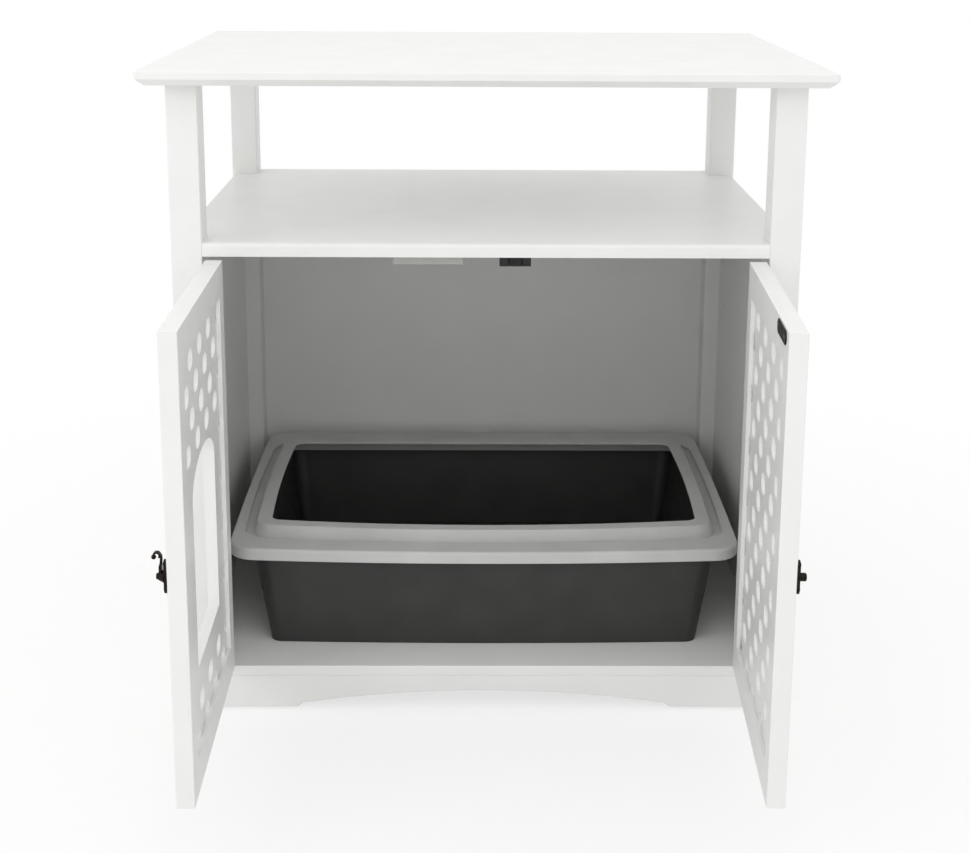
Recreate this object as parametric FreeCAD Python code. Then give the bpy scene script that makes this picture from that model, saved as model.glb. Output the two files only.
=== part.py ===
"""Cat litter box cabinet: a side table with an open shelf bay above a two-door litter bay.

Millimetres. X runs to the right, Y away from the viewer, Z up. The origin is on the floor,
in the middle of the box that holds the cabinet with both doors standing open.
"""
import FreeCAD
import Part
import math
import os

V = FreeCAD.Vector

# ---- carcase ------------------------------------------------------------------------------
FRONT = -113.4          # Y of the front faces of the posts
GAP_X = 302.5           # half the clear width between the posts
POST_X = 33.0           # post size across
POST_Y = 39.0           # post size front to back
DEPTH = 500.0           # front face of the front posts to rear face of the rear posts
GLIDE_H = 3.0           # height of the foot glides
GLIDE_R = 9.0
HEIGHT = 724.0          # floor to upper face of the table top
TOP_T = 15.0
TOP_LIP = 8.0           # straight part of the table top's edge
TOP_CHAMFER = 8.0       # how far the underside is cut back below the lip
TOP_SIDE = 26.0         # overhang past the posts, each side
TOP_FRONT = 30.0        # overhang past the posts, front and back
TOP_CORNER_R = 3.0
SHELF_TOP = 540.0
SHELF_T = 15.0
SHELF_SETBACK = 4.5     # shelf edge behind the posts' outer faces
SHELF_NOSE_R = 5.0
FLOOR_TOP = 53.0
FLOOR_T = 12.0
APRON_T = 18.0
ARCH_HALF = 212.0       # half the width of the apron's arch
ARCH_RISE = 20.0
ARCH_END_W = 7.0        # width and height of the short slopes at the arch's ends
ARCH_END_H = 4.8
SIDE_T = 12.0
SIDE_SETBACK = 1.0      # side panel behind the posts' outer faces
PANEL_FOOT = 12.0       # height of the lower edge of the side and back panels
BACK_T = 5.0
REBATE = 8.0            # width of the rear posts' rebate that takes the back panel
EDGE_R = 1.2            # softened edges of the posts
CLEAT = 18.0
CLEAT_Y = (60.0, 440.0)
REAR_RAIL_Y = (474.0, 492.0)
DOWEL_R = 4.0
TOP_DOWEL_L = 30.0
TOP_DOWEL_DEPTH = 20.0  # how far the top dowels stand down in the posts
DOWEL_SPREAD = 8.5
SHELF_DOWEL_HALF = 12.0
SMALL_DOWEL_R = 3.0
SIDE_DOWEL_HALF = 10.0
SIDE_DOWEL_Z = (110.0, 290.0, 470.0)
SPARE_HOLE_R = 2.5      # one open peg hole in the right side panel
SPARE_HOLE_YZ = (413.0, 373.0)
SPARE_HOLE_DEPTH = 8.0
# screws: head radius, head height, shank radius, length below the head
CLEAT_SCREW = (4.0, 2.2, 2.0, 26.0)
CLEAT_SCREW_Y = (100.0, 250.0, 400.0)
BACK_SCREW = (2.8, 1.6, 1.3, 16.0)
BACK_SCREW_Z = (60.0, 170.0, 280.0, 390.0, 500.0)

# tests on the shapes: places this close are one, and shorter upright edges don't count
TOUCH = 0.01
SHORT_EDGE = 0.5

# ---- doors --------------------------------------------------------------------------------
DOOR_SIDE_GAP = 1.5
DOOR_MEETING_GAP = 3.0
DOOR_BOTTOM = FLOOR_TOP + 2.5
DOOR_TOP = SHELF_TOP - SHELF_T - 3.0
DOOR_T = 18.0
DOOR_W = GAP_X - DOOR_SIDE_GAP - DOOR_MEETING_GAP / 2
STILE_W = 28.0
TOP_RAIL_H = 34.0
BOTTOM_RAIL_H = 35.0
GROOVE = 8.0            # depth of the groove that holds the panel
PANEL_T = 12.0
PANEL_BACKSET = 2.0     # panel face behind the frame's outer face
DOOR_EDGE_R = 1.0
LEFT_OPEN = 89.1        # degrees the left door stands open
RIGHT_OPEN = 87.2       # degrees the right door stands open

# staggered slots of the door panels
SLOT_W = 28.0
SLOT_H = 21.0
SLOT_PITCH_X = 59.5
SLOT_PITCH_Z = 29.0
SLOT_FIRST_Z = 471.5
SLOT_ROWS = 14

# cat entrance in the left door
ENTRY_HALF = 74.0
ENTRY_SILL = 163.0
ENTRY_SPRING = 332.0    # where the straight sides end
ENTRY_RISE = 34.0
ENTRY_FIRST_ROW = 4     # slot rows beside the entrance keep only their outermost slots
ENTRY_LAST_ROW = 11

# ---- butt hinges --------------------------------------------------------------------------
PIVOT_X = GAP_X - DOOR_SIDE_GAP / 2
PIVOT_OUT = 3.1         # hinge axis in front of the posts
BARREL_R = 2.8
PIN_R = 1.4
PIN_FIT = 0.05
LEAF_H = 50.0
LEAF_D = 16.0
LEAF_T = 1.2
KNUCKLE = 16.4
KNUCKLE_GAP = 0.4
PIN_CAP = 0.8           # how far the pin's head stands past the barrel
PIN_CAP_INSET = 0.4
HINGE_Z = (125.5, 452.0)
SCREW_STEPS = (-16.0, 0.0, 16.0)
HINGE_SCREW_R = 1.3
HINGE_SCREW_HEAD = 2.5
HINGE_SCREW_L = 13.0

# ---- swing hook latch ---------------------------------------------------------------------
LATCH_Z = (DOOR_BOTTOM + DOOR_TOP) / 2
LATCH_INSET = 6.3       # latch centre line from the door's free edge
PLATE_W = 12.2
PLATE_H = 33.0
PLATE_T = 3.0
PLATE_SCREW = 12.0      # screw centres above and below the middle of the plate
PLATE_SCREW_SIZE = (2.2, 0.9, 1.1, 12.0)
HOOK_OUT = 5.0          # back of the hook plate in front of the door face
HOOK_T = 2.4
HOOK_REACH = 2 * LATCH_INSET + DOOR_MEETING_GAP
HOOK_ARM_W = 8.0
HOOK_INNER_R = 4.35
HOOK_OUTER_R = 5.9
HUB_GAP = 0.4           # clearance below the hub and under the rivet's head
HUB_H = 5.4
HUB_R = 6.2
HUB_TIP_R = 3.4
CURL_START = 4.8        # where the finger curl leaves the hook, above the hook's centre
CURL_R = 2.95           # centre line radius of the finger curl
CURL_W = 4.4
CURL_T = 1.8
CURL_DROP = 1.6
CURL_BALL_R = 2.3
PIVOT_R = 2.0
PIVOT_FIT = 0.06
PIVOT_HEAD_R = 2.8
PIVOT_HEAD_T = 1.0
PEG_R = 4.0
PEG_ROUND = 1.6
RIVET_TAIL = 8.0        # how far the rivet and the peg reach into their stiles
PEG_OUT = 6.4           # peg length in front of its plate

# ---- magnetic catch and stop block --------------------------------------------------------
CATCH_X = 31.5
CATCH_W = 34.0
CATCH_H = 14.0
CATCH_D = 16.0
CATCH_Y = 20.4          # front of the catch behind the posts' front faces
POLE_T = 1.6
POLE_H = 9.0
POLE_OUT = 0.6
MAGNET_HALF = 8.0       # half the width of the catch's magnet pocket
MAGNET_DEPTH = 8.0
MAGNET_LOW = 2.0        # plastic left under and over the pocket
MAGNET_HIGH = 3.0
MAGNET_SETBACK = 0.4
CATCH_ROUND = 1.5
CATCH_SCREW = (2.6, 1.4, 1.3, 20.0)
CATCH_SCREW_X = 12.0
CATCH_BORE_R = 3.4
STRIKE_X = 43.0
STRIKE_W = 56.0
STRIKE_H = 14.0
STRIKE_T = 1.2
STRIKE_Z = 513.0
STRIKE_SCREW = (2.0, 0.4, 1.1, 11.0)
STRIKE_SCREW_X = (-17.0, 24.0)      # from the middle of the strike plate
STOP_X = -62.5
STOP_W = 77.0
STOP_H = 11.5
STOP_D = 18.0
STOP_Y = 18.6
STOP_ROUND = 2.0
STOP_SCREW = (3.2, 1.8, 1.6, 18.0)
STOP_SCREW_X = 24.0
STOP_BORE_R = 3.8
SCREW_SEAT = 3.0        # depth of the counterbores in the catch and in the stop block

# ---- litter pan ---------------------------------------------------------------------------
# plan outlines: half width, front, back, corner radius, then how far the sides, the front
# and the back bow; front and back are distances behind the posts' front faces
RIM_PLAN = (296.0, 38.0, 476.0, 32.0, 2.0, 12.0, 2.0)
MOUTH_PLAN = (254.0, 98.0, 398.0, 12.0, 4.0, 17.0, 0.5)
TUB_TOP_PLAN = (269.0, 50.0, 456.0, 22.0, 2.0, 8.0, 2.0)
TUB_BASE_PLAN = (250.0, 58.0, 438.0, 13.0, 2.0, 5.0, 2.0)
CORNER_TAPER = 0.6      # how fast an outline's corner radius shrinks as it moves inwards
RIM_WALL = 3.0
SKIRT_Z = 160.0
BEAD_Z = 174.0
BEAD_SOFT = 3.5         # rounding of the bead's outer edge
CHANNEL_Z = 169.0
CHANNEL_W = 7.0
RIDGE_Z = 184.0
RIDGE_W = 16.0
RIDGE_SOFT = 2.5
SLOPE_W = 7.0
TUB_WALL = 3.0
TUB_FLANGE_INSET = 4.0
TUB_FLANGE_Z = CHANNEL_Z - RIM_WALL - 0.4
TUB_BASE_Z = FLOOR_TOP + 0.3


def box(x0, x1, y0, y1, z0, z1):
    """A block between two corners."""
    return Part.makeBox(x1 - x0, y1 - y0, z1 - z0, V(x0, y0, z0))


def rod(radius, start, end):
    """A round bar between two points."""
    axis = end - start
    return Part.makeCylinder(radius, axis.Length, start, axis)


def mirror(shape):
    """The same piece for the other side of the cabinet."""
    return shape.mirror(V(0, 0, 0), V(1, 0, 0))


def upright_edges(shape):
    """The edges of a prism that run along Z."""
    found = []
    for edge in shape.Edges:
        a, b = edge.Vertexes[0].Point, edge.Vertexes[-1].Point
        if abs(a.z - b.z) > SHORT_EDGE and abs(a.x - b.x) + abs(a.y - b.y) < TOUCH:
            found.append(edge)
    return found


def joined(shapes):
    """Touching pieces fused into one solid."""
    return shapes[0].multiFuse(shapes[1:]).removeSplitter()


# ---- carcase pieces -----------------------------------------------------------------------
def slab(half_x, y0, y1, z0, z1, radius):
    """A board with rounded corners in plan."""
    board = box(-half_x, half_x, y0, y1, z0, z1)
    return board.makeFillet(radius, upright_edges(board))


def post_outer():
    """Distance from the middle to the posts' outer faces."""
    return GAP_X + POST_X


def post_spots():
    """Middle of each post in plan."""
    x = GAP_X + POST_X / 2
    ys = (FRONT + POST_Y / 2, FRONT + DEPTH - POST_Y / 2)
    return [(sx * x, y) for y in ys for sx in (-1, 1)]


def top_dowels():
    """Upright dowels, two to a post, half in the post and half in the table top."""
    low = HEIGHT - TOP_T - TOP_DOWEL_DEPTH
    return [rod(DOWEL_R, V(x + dx, y, low), V(x + dx, y, low + TOP_DOWEL_L))
            for x, y in post_spots() for dx in (-DOWEL_SPREAD, DOWEL_SPREAD)]


def shelf_dowels():
    """Level dowels from the posts' inner faces into the shelf."""
    z = SHELF_TOP - SHELF_T / 2
    reach = SHELF_DOWEL_HALF
    return [rod(DOWEL_R, V(sign(x) * (GAP_X - reach), y, z), V(sign(x) * (GAP_X + reach), y, z))
            for x, y in post_spots()]


def side_dowels():
    """Level dowels that join the side panels' ends to the posts."""
    x = side_x()[0] + SIDE_T / 2
    ends = (FRONT + POST_Y, FRONT + DEPTH - POST_Y)
    reach = SIDE_DOWEL_HALF
    return [rod(SMALL_DOWEL_R, V(sx * x, y - reach, z), V(sx * x, y + reach, z))
            for sx in (-1, 1) for y in ends for z in SIDE_DOWEL_Z]


def sign(value):
    """-1 on the left, 1 on the right."""
    return -1 if value < 0 else 1


def side_x():
    """Inner and outer distance of the side panels from the middle."""
    outer = post_outer() - SIDE_SETBACK
    return outer - SIDE_T, outer


def top_panel():
    """Table top: a straight lip above an underside that is cut back all round."""
    half = post_outer() + TOP_SIDE
    y0, y1 = FRONT - TOP_FRONT, FRONT + DEPTH + TOP_FRONT
    lip = slab(half, y0, y1, HEIGHT - TOP_LIP, HEIGHT, TOP_CORNER_R)
    rim = [e for e in lip.Edges if min(v.Z for v in e.Vertexes) > HEIGHT - TOUCH]
    lip = lip.makeFillet(EDGE_R, rim)
    low, high = HEIGHT - TOP_T, HEIGHT - TOP_LIP
    cut = TOP_CHAMFER
    lower = Part.makeLoft([plan(half - cut, y0 + cut, y1 - cut, low),
                           plan(half, y0, y1, high)], True, True)
    board = joined([lip, lower])
    return board.cut(Part.makeCompound(top_dowels()))


def plan(half_x, y0, y1, z):
    """A level outline with the table top's corner radius."""
    board = slab(half_x, y0, y1, z, z + 1, TOP_CORNER_R)
    faces = sorted(board.Faces, key=lambda f: f.CenterOfMass.z)
    return faces[0].OuterWire


def post(x_sign, rear):
    """One post, with its dowel holes, its hinge mortises or its rebate for the back panel."""
    y0 = FRONT + (DEPTH - POST_Y if rear else 0)
    body = box(GAP_X, post_outer(), y0, y0 + POST_Y, GLIDE_H, HEIGHT - TOP_T)
    body = body.makeFillet(EDGE_R, upright_edges(body))
    if rear:
        y1 = FRONT + DEPTH
        body = body.cut(box(GAP_X - 1, GAP_X + REBATE, y1 - BACK_T, y1 + 1,
                            PANEL_FOOT, SHELF_TOP - SHELF_T))
    else:
        for z in HINGE_Z:
            body = body.cut(leaf_pocket(z))
    if x_sign < 0:
        body = mirror(body)
    tools = top_dowels() + shelf_dowels() + side_dowels()
    tools = tools + (back_screws() if rear else hinge_screws(x_sign, frame_side=True))
    return body.cut(Part.makeCompound(tools))


def leaf_pocket(z):
    """Mortise for the frame leaf of a right-hand hinge."""
    half = LEAF_H / 2
    return box(GAP_X - 1, GAP_X + LEAF_T, FRONT - 1, FRONT + LEAF_D, z - half, z + half)


def notched_board(half_x, y0, y1, z0, z1):
    """A level board cut out round the four posts."""
    board = box(-half_x, half_x, y0, y1, z0, z1)
    for x, y in post_spots():
        inner, outer = (GAP_X, post_outer() + 1) if x > 0 else (-post_outer() - 1, -GAP_X)
        y_a = FRONT - 1 if y < 0 else FRONT + DEPTH - POST_Y
        y_b = FRONT + POST_Y if y < 0 else FRONT + DEPTH + 1
        board = board.cut(box(inner, outer, y_a, y_b, z0 - 1, z1 + 1))
    return board


def middle_shelf():
    """Shelf between the bays, rounded along its front edge."""
    board = notched_board(post_outer() - SHELF_SETBACK, FRONT, FRONT + DEPTH,
                          SHELF_TOP - SHELF_T, SHELF_TOP)
    nose = [e for e in board.Edges if all(abs(v.Y - FRONT) < TOUCH for v in e.Vertexes)
            and all(abs(v.Z - SHELF_TOP) < TOUCH for v in e.Vertexes)]
    board = board.makeFillet(SHELF_NOSE_R, nose)
    tools = shelf_dowels() + catch_screws() + stop_screws()
    return board.cut(Part.makeCompound(tools))


def floor_panel():
    """Bottom board of the litter bay; its front edge shows above the apron."""
    return notched_board(side_x()[0], FRONT, FRONT + DEPTH - BACK_T,
                         FLOOR_TOP - FLOOR_T, FLOOR_TOP)


def side_panel(x_sign):
    """Upright panel between a front and a rear post."""
    x0, x1 = side_x()
    panel = box(x0, x1, FRONT + POST_Y, FRONT + DEPTH - POST_Y, PANEL_FOOT,
                SHELF_TOP - SHELF_T)
    if x_sign < 0:
        panel = mirror(panel)
    else:
        y, z = FRONT + SPARE_HOLE_YZ[0], SPARE_HOLE_YZ[1]
        panel = panel.cut(rod(SPARE_HOLE_R, V(x0 - 1, y, z), V(x0 + SPARE_HOLE_DEPTH, y, z)))
    return panel.cut(Part.makeCompound(side_dowels() + cleat_screws()))


def back_panel():
    """Thin panel let into the rebates of the rear posts."""
    y1 = FRONT + DEPTH
    panel = box(-GAP_X - REBATE, GAP_X + REBATE, y1 - BACK_T, y1, PANEL_FOOT,
                SHELF_TOP - SHELF_T)
    return panel.cut(Part.makeCompound(back_screws()))


def front_apron():
    """Board under the floor panel's front edge with a shallow arch."""
    low, high = GLIDE_H, FLOOR_TOP - FLOOR_T
    y = FRONT
    foot_l, foot_r = V(-ARCH_HALF, y, low), V(ARCH_HALF, y, low)
    left = foot_l + V(ARCH_END_W, 0, ARCH_END_H)
    right = foot_r + V(-ARCH_END_W, 0, ARCH_END_H)
    edges = [Part.LineSegment(V(-GAP_X, y, low), foot_l).toShape(),
             Part.LineSegment(foot_l, left).toShape(),
             Part.Arc(left, V(0, y, low + ARCH_RISE), right).toShape(),
             Part.LineSegment(right, foot_r).toShape(),
             Part.LineSegment(foot_r, V(GAP_X, y, low)).toShape(),
             Part.LineSegment(V(GAP_X, y, low), V(GAP_X, y, high)).toShape(),
             Part.LineSegment(V(GAP_X, y, high), V(-GAP_X, y, high)).toShape(),
             Part.LineSegment(V(-GAP_X, y, high), V(-GAP_X, y, low)).toShape()]
    return Part.Face(Part.Wire(edges)).extrude(V(0, APRON_T, 0))


def rear_rail():
    """Straight rail under the rear of the floor panel."""
    y0, y1 = REAR_RAIL_Y
    return box(-GAP_X, GAP_X, FRONT + y0, FRONT + y1, PANEL_FOOT, FLOOR_TOP - FLOOR_T)


def floor_cleats():
    """Strips screwed to the side panels that carry the floor panel."""
    x1 = side_x()[0]
    high = FLOOR_TOP - FLOOR_T
    strip = box(x1 - CLEAT, x1, FRONT + CLEAT_Y[0], FRONT + CLEAT_Y[1], high - CLEAT, high)
    pair = [strip, mirror(strip)]
    return [s.cut(Part.makeCompound(cleat_screws())) for s in pair]


def pan_head_screw(head, axis, head_r, head_t, shank_r, length):
    """A screw whose head's seat is at the point head and whose shank runs along axis."""
    return joined([rod(head_r, head, head - axis * head_t),
                   rod(shank_r, head, head + axis * length)])


def cleat_screws():
    """Screws through the cleats into the side panels."""
    x = side_x()[0] - CLEAT
    z = FLOOR_TOP - FLOOR_T - CLEAT / 2
    return [pan_head_screw(V(sx * x, FRONT + y, z), V(sx, 0, 0), *CLEAT_SCREW)
            for sx in (-1, 1) for y in CLEAT_SCREW_Y]


def back_screws():
    """Small screws round the back panel's sides and along the rear rail and the shelf."""
    y = FRONT + DEPTH
    x = GAP_X + REBATE / 2
    return [pan_head_screw(V(sx * x, y, z), V(0, -1, 0), *BACK_SCREW)
            for sx in (-1, 1) for z in BACK_SCREW_Z]


def foot_glides():
    """Plastic discs under the posts."""
    return [rod(GLIDE_R, V(x, y, 0), V(x, y, GLIDE_H)) for x, y in post_spots()]


# ---- doors: each is drawn closed, then swung open -----------------------------------------
def swing(shape, x_sign):
    """Turn a closed door's piece to where the door stands open."""
    turned = shape.copy()
    angle = RIGHT_OPEN if x_sign > 0 else -LEFT_OPEN
    turned.rotate(V(x_sign * PIVOT_X, FRONT - PIVOT_OUT, 0), V(0, 0, 1), angle)
    return turned


def hang(shape, x_sign):
    """Place a piece drawn for the right-hand door on either door, swung open."""
    return swing(shape if x_sign > 0 else mirror(shape), x_sign)


def door_x(distance):
    """X of a point on the closed right-hand door, measured from its hinge edge."""
    return GAP_X - DOOR_SIDE_GAP - distance


def groove_y():
    """Front and back of the panel and of the groove it sits in."""
    return FRONT + PANEL_BACKSET, FRONT + PANEL_BACKSET + PANEL_T


def soft_outer_edges(shape, x_face):
    """Ease the two long edges of a stile on the side named by x_face."""
    edges = [e for e in upright_edges(shape) if abs(e.Vertexes[0].X - x_face) < TOUCH]
    return shape.makeFillet(DOOR_EDGE_R, edges)


def hinge_stile():
    """Upright frame member on the hinge side."""
    x0, x1 = door_x(STILE_W), door_x(0)
    body = soft_outer_edges(box(x0, x1, FRONT, FRONT + DOOR_T, DOOR_BOTTOM, DOOR_TOP), x1)
    g0, g1 = groove_y()
    body = body.cut(box(x0 - 1, x0 + GROOVE, g0, g1, DOOR_BOTTOM - 1, DOOR_TOP + 1))
    half = LEAF_H / 2
    for z in HINGE_Z:
        body = body.cut(box(x1 - LEAF_T, x1 + 1, FRONT - 1, FRONT + LEAF_D, z - half, z + half))
    return body.cut(Part.makeCompound(hinge_screws(1, frame_side=False)))


def free_stile(with_strike):
    """Upright frame member on the meeting side."""
    x0, x1 = door_x(DOOR_W), door_x(DOOR_W - STILE_W)
    body = soft_outer_edges(box(x0, x1, FRONT, FRONT + DOOR_T, DOOR_BOTTOM, DOOR_TOP), x0)
    g0, g1 = groove_y()
    body = body.cut(box(x1 - GROOVE, x1 + 1, g0, g1, DOOR_BOTTOM - 1, DOOR_TOP + 1))
    tools = plate_screws() + (strike_screws() if with_strike else [])
    return body.cut(Part.makeCompound(tools + [latch_rivet_hole()]))


def door_rail(upper, with_strike):
    """Level frame member with a tongue at each end that fits the stiles' grooves."""
    z0 = DOOR_TOP - TOP_RAIL_H if upper else DOOR_BOTTOM
    z1 = DOOR_TOP if upper else DOOR_BOTTOM + BOTTOM_RAIL_H
    x0, x1 = door_x(DOOR_W - STILE_W), door_x(STILE_W)
    g0, g1 = groove_y()
    body = joined([box(x0, x1, FRONT, FRONT + DOOR_T, z0, z1),
                   box(x0 - GROOVE, x1 + GROOVE, g0, g1, z0, z1)])
    lip = (z0 - 1, z0 + GROOVE) if upper else (z1 - GROOVE, z1 + 1)
    body = body.cut(box(x0 - GROOVE - 1, x1 + GROOVE + 1, g0, g1, *lip))
    return body.cut(Part.makeCompound(strike_screws())) if with_strike else body


def slot_centres(four_first, entrance):
    """Centres of the staggered slots, as distance from the hinge edge and height."""
    middle = DOOR_W / 2
    spots = []
    for row in range(SLOT_ROWS):
        four = (row % 2 == 0) == four_first
        offsets = (-1.5, -0.5, 0.5, 1.5) if four else (-2, -1, 0, 1, 2)
        if entrance and ENTRY_FIRST_ROW <= row <= ENTRY_LAST_ROW:
            offsets = () if four else (-2, 2)
        z = SLOT_FIRST_Z - row * SLOT_PITCH_Z
        spots += [(middle + k * SLOT_PITCH_X, z) for k in offsets]
    return spots


def slot(distance, z):
    """A cutter for one slot with round ends."""
    r = SLOT_H / 2
    half = SLOT_W / 2 - r
    x = door_x(distance)
    g0, g1 = groove_y()
    ends = [rod(r, V(x + k, g0 - 1, z), V(x + k, g1 + 1, z)) for k in (-half, half)]
    return joined([box(x - half, x + half, g0 - 1, g1 + 1, z - r, z + r)] + ends)


def entrance():
    """A cutter for the cat entrance: straight sides under a flat elliptical arch."""
    x = door_x(DOOR_W / 2)
    g0, g1 = groove_y()
    y = g0 - 1
    left, right = V(x - ENTRY_HALF, y, ENTRY_SPRING), V(x + ENTRY_HALF, y, ENTRY_SPRING)
    oval = Part.Ellipse(right, V(x, y, ENTRY_SPRING + ENTRY_RISE), V(x, y, ENTRY_SPRING))
    arch = oval.toShape().extrude(V(0, g1 - g0 + 2, 0))
    top = Part.makeSolid(Part.makeShell(arch.Faces + [
        Part.Face(Part.Wire(oval.toShape())),
        Part.Face(Part.Wire(oval.toShape())).translated(V(0, g1 - g0 + 2, 0))]))
    below = box(left.x, right.x, y, y + g1 - g0 + 2, ENTRY_SILL, ENTRY_SPRING)
    return joined([below, top])


def door_panel(four_first, with_entrance):
    """Perforated panel held in the door frame's grooves."""
    x0, x1 = door_x(DOOR_W - STILE_W + GROOVE), door_x(STILE_W - GROOVE)
    g0, g1 = groove_y()
    panel = box(x0, x1, g0, g1, DOOR_BOTTOM + BOTTOM_RAIL_H - GROOVE,
                DOOR_TOP - TOP_RAIL_H + GROOVE)
    tools = [slot(s, z) for s, z in slot_centres(four_first, with_entrance)]
    if with_entrance:
        tools.append(entrance())
    return panel.cut(Part.makeCompound(tools))


# ---- hinges -------------------------------------------------------------------------------
def knuckle_spans(z, frame_side):
    """Heights of the knuckles of one leaf: two outer ones or the middle one."""
    half = LEAF_H / 2
    if frame_side:
        return [(z - half, z - half + KNUCKLE), (z + half - KNUCKLE, z + half)]
    inner = half - KNUCKLE - KNUCKLE_GAP
    return [(z - inner, z + inner)]


def hinge_leaf(z, frame_side):
    """One leaf of a right-hand hinge, with its knuckles."""
    half = LEAF_H / 2
    x0 = GAP_X if frame_side else door_x(0) - LEAF_T
    y = FRONT - PIVOT_OUT
    pieces = [box(x0, x0 + LEAF_T, FRONT, FRONT + LEAF_D, z - half, z + half)]
    for z0, z1 in knuckle_spans(z, frame_side):
        pieces.append(box(x0, x0 + LEAF_T, y, FRONT, z0, z1))
        pieces.append(rod(BARREL_R, V(PIVOT_X, y, z0), V(PIVOT_X, y, z1)))
    leaf = joined(pieces)
    hole = PIN_R if frame_side else PIN_R + PIN_FIT
    leaf = leaf.cut(rod(hole, V(PIVOT_X, y, z - half - 1), V(PIVOT_X, y, z + half + 1)))
    return leaf.cut(Part.makeCompound(hinge_screws(1, frame_side)))


def hinge_screws(x_sign, frame_side):
    """Flat-headed screws of the leaves on one side, drawn with the door closed."""
    screws = []
    into = 1 if frame_side else -1
    face = GAP_X if frame_side else door_x(0)
    y = FRONT + LEAF_D / 2 + 1
    for z in HINGE_Z:
        for step in SCREW_STEPS:
            seat, tip = V(face, y, z + step), V(face + into * HINGE_SCREW_L, y, z + step)
            head = Part.makeCone(HINGE_SCREW_HEAD, HINGE_SCREW_R, LEAF_T, seat, V(into, 0, 0))
            screw = joined([head, rod(HINGE_SCREW_R, seat, tip)])
            screws.append(screw if x_sign > 0 else mirror(screw))
    return screws


def hinge_pins(x_sign):
    """Pins of one door's two hinges, with a low head at the top."""
    pins = []
    y = FRONT - PIVOT_OUT
    for z in HINGE_Z:
        low, high = z - LEAF_H / 2, z + LEAF_H / 2
        x = x_sign * PIVOT_X
        pins.append(joined([rod(PIN_R, V(x, y, low), V(x, y, high)),
                            rod(BARREL_R - PIN_CAP_INSET, V(x, y, high), V(x, y, high + PIN_CAP))]))
    return pins


# ---- latch --------------------------------------------------------------------------------
def latch_x():
    """X of the latch centre line on the closed right-hand door."""
    return door_x(DOOR_W - LATCH_INSET)


def plate_screws():
    """Screws at the top and bottom of a latch plate."""
    return [pan_head_screw(V(latch_x(), FRONT - PLATE_T, LATCH_Z + dz), V(0, 1, 0),
                           *PLATE_SCREW_SIZE)
            for dz in (-PLATE_SCREW, PLATE_SCREW)]


def latch_plate(hole_r):
    """Narrow plate with rounded ends and a hole for what stands on it."""
    x, y = latch_x(), FRONT - PLATE_T
    r = PLATE_W / 2
    flat = PLATE_H / 2 - r
    pieces = [box(x - r, x + r, y, FRONT, LATCH_Z - flat, LATCH_Z + flat)]
    pieces += [rod(r, V(x, y, LATCH_Z + k * flat), V(x, FRONT, LATCH_Z + k * flat))
               for k in (-1, 1)]
    plate = joined(pieces)
    plate = plate.cut(rod(hole_r, V(x, y - 1, LATCH_Z), V(x, FRONT + 1, LATCH_Z)))
    return plate.cut(Part.makeCompound(plate_screws()))


def latch_rivet_hole():
    """Hole in a stile for the tail of the rivet or of the peg."""
    x = latch_x()
    return rod(PIVOT_R, V(x, FRONT - 1, LATCH_Z), V(x, FRONT + RIVET_TAIL, LATCH_Z))


def latch_pivot():
    """Rivet that holds the hook on its plate."""
    x = latch_x()
    seat = FRONT - PLATE_T - HUB_GAP - HUB_H - HUB_GAP
    head = rod(PIVOT_HEAD_R, V(x, seat, LATCH_Z), V(x, seat - PIVOT_HEAD_T, LATCH_Z))
    return joined([rod(PIVOT_R, V(x, FRONT + RIVET_TAIL, LATCH_Z), V(x, seat, LATCH_Z)), head])


def latch_hook():
    """Hook drawn upright on the right-hand door; its open side faces the free edge."""
    x = latch_x()
    ya, yb = FRONT - HOOK_OUT - HOOK_T, FRONT - HOOK_OUT
    tip = LATCH_Z + HOOK_REACH
    half = HOOK_ARM_W / 2
    arm = box(x - half, x + half, ya, yb, LATCH_Z, tip)
    ring = rod(HOOK_OUTER_R, V(x, ya, tip), V(x, yb, tip))
    bore = rod(HOOK_INNER_R, V(x, ya - 1, tip), V(x, yb + 1, tip))
    body = joined([arm, ring]).cut(bore).cut(hook_mouth(x, ya, yb))
    hub_back = V(x, FRONT - PLATE_T - HUB_GAP, LATCH_Z)
    hub = Part.makeCone(HUB_R, HUB_TIP_R, HUB_H, hub_back, V(0, -1, 0))
    body = joined([body, hub, finger_curl(x, tip)])
    return body.cut(rod(PIVOT_R + PIVOT_FIT, V(x, FRONT, LATCH_Z), V(x, ya - HUB_H, LATCH_Z)))


def hook_mouth(x, ya, yb):
    """Cutter for the hook's open side: the path that the peg takes as the hook swings."""
    outer = rod(HOOK_REACH + HOOK_INNER_R, V(x, ya - 1, LATCH_Z), V(x, yb + 1, LATCH_Z))
    inner = rod(HOOK_REACH - HOOK_INNER_R, V(x, ya - 1, LATCH_Z), V(x, yb + 1, LATCH_Z))
    reach = HOOK_REACH + HOOK_OUTER_R
    return outer.cut(inner).common(box(x - reach, x, ya - 1, yb + 1, LATCH_Z, LATCH_Z + reach))


def finger_curl(x, tip):
    """Strip that curls outwards from the hook's end and down to a small ball."""
    root = FRONT - HOOK_OUT - HOOK_T / 2
    middle, far = root - CURL_R, root - 2 * CURL_R
    z = tip + CURL_START
    half_w, half_t = CURL_W / 2, CURL_T / 2
    left, right = V(x - half_w, middle, z), V(x + half_w, middle, z)
    ring = rod(CURL_R + half_t, left, right).cut(rod(CURL_R - half_t, left, right))
    below = box(x - CURL_W, x + CURL_W, far - CURL_T, root + CURL_T, z - 2 * CURL_R, z)
    leg = box(x - half_w, x + half_w, far - half_t, far + half_t, z - CURL_DROP, z)
    return joined([ring.cut(below), leg, Part.makeSphere(CURL_BALL_R, V(x, far, z - CURL_DROP))])


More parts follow.
